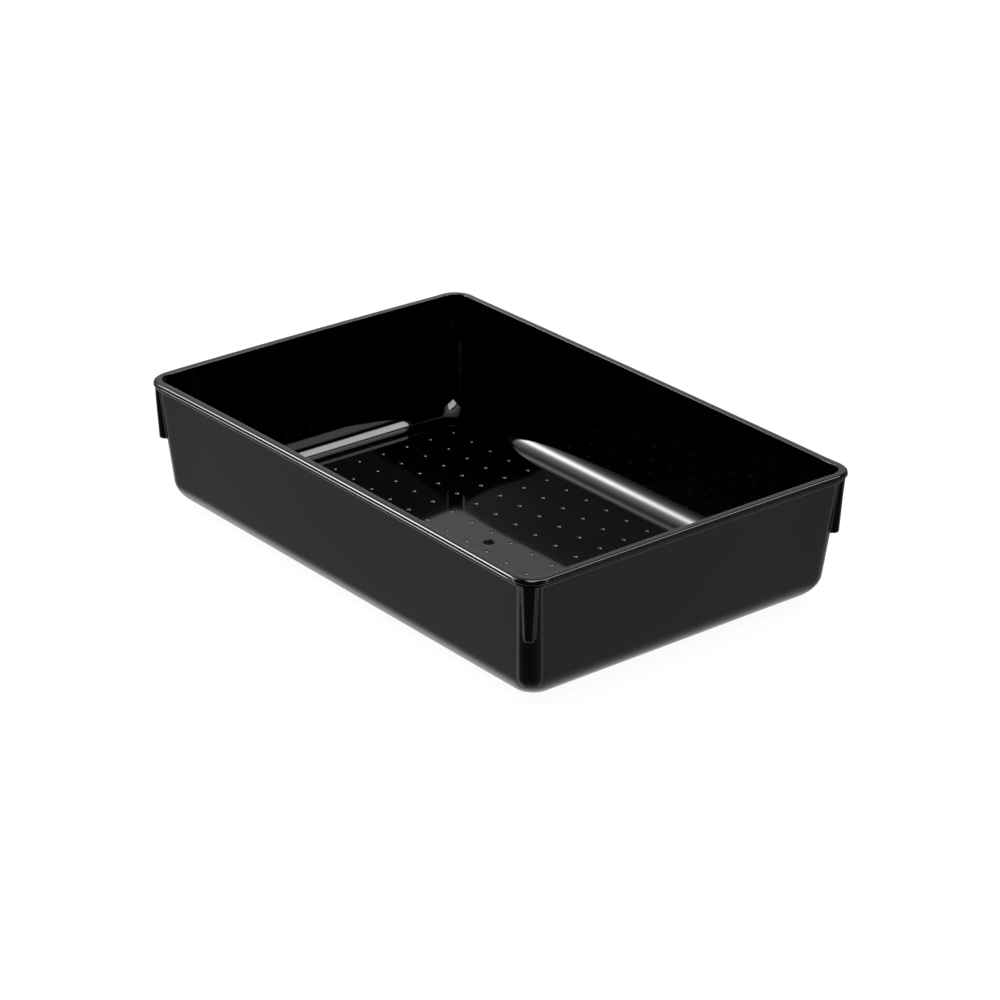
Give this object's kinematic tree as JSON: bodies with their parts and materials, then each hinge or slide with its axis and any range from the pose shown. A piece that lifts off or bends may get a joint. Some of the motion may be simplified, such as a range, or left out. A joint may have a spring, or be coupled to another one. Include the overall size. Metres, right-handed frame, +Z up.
{
  "type": "drawer organizer tray",
  "caption": "Shallow rectangular drawer organizer insert: glossy black moulded tray with a beaded rim, corner ribs, a dotted floor and anti-slip foot pads.",
  "frame": {"origin": "on the surface that the foot pads stand on, under the middle of the tray", "axes": "+X along the long side, +Y across the tray, +Z up out of the open top"},
  "size_m": [0.2286, 0.1524, 0.052],
  "materials": {
    "tray_plastic": "high-gloss injection moulded black polystyrene",
    "pad_rubber": "matt dark anti-slip rubber"
  },
  "bodies": {
    "root": {"tray": "tray_plastic", "foot_pad_front_left": "pad_rubber", "foot_pad_front_right": "pad_rubber", "foot_pad_back_left": "pad_rubber", "foot_pad_back_right": "pad_rubber"}
  },
  "joints": []
}
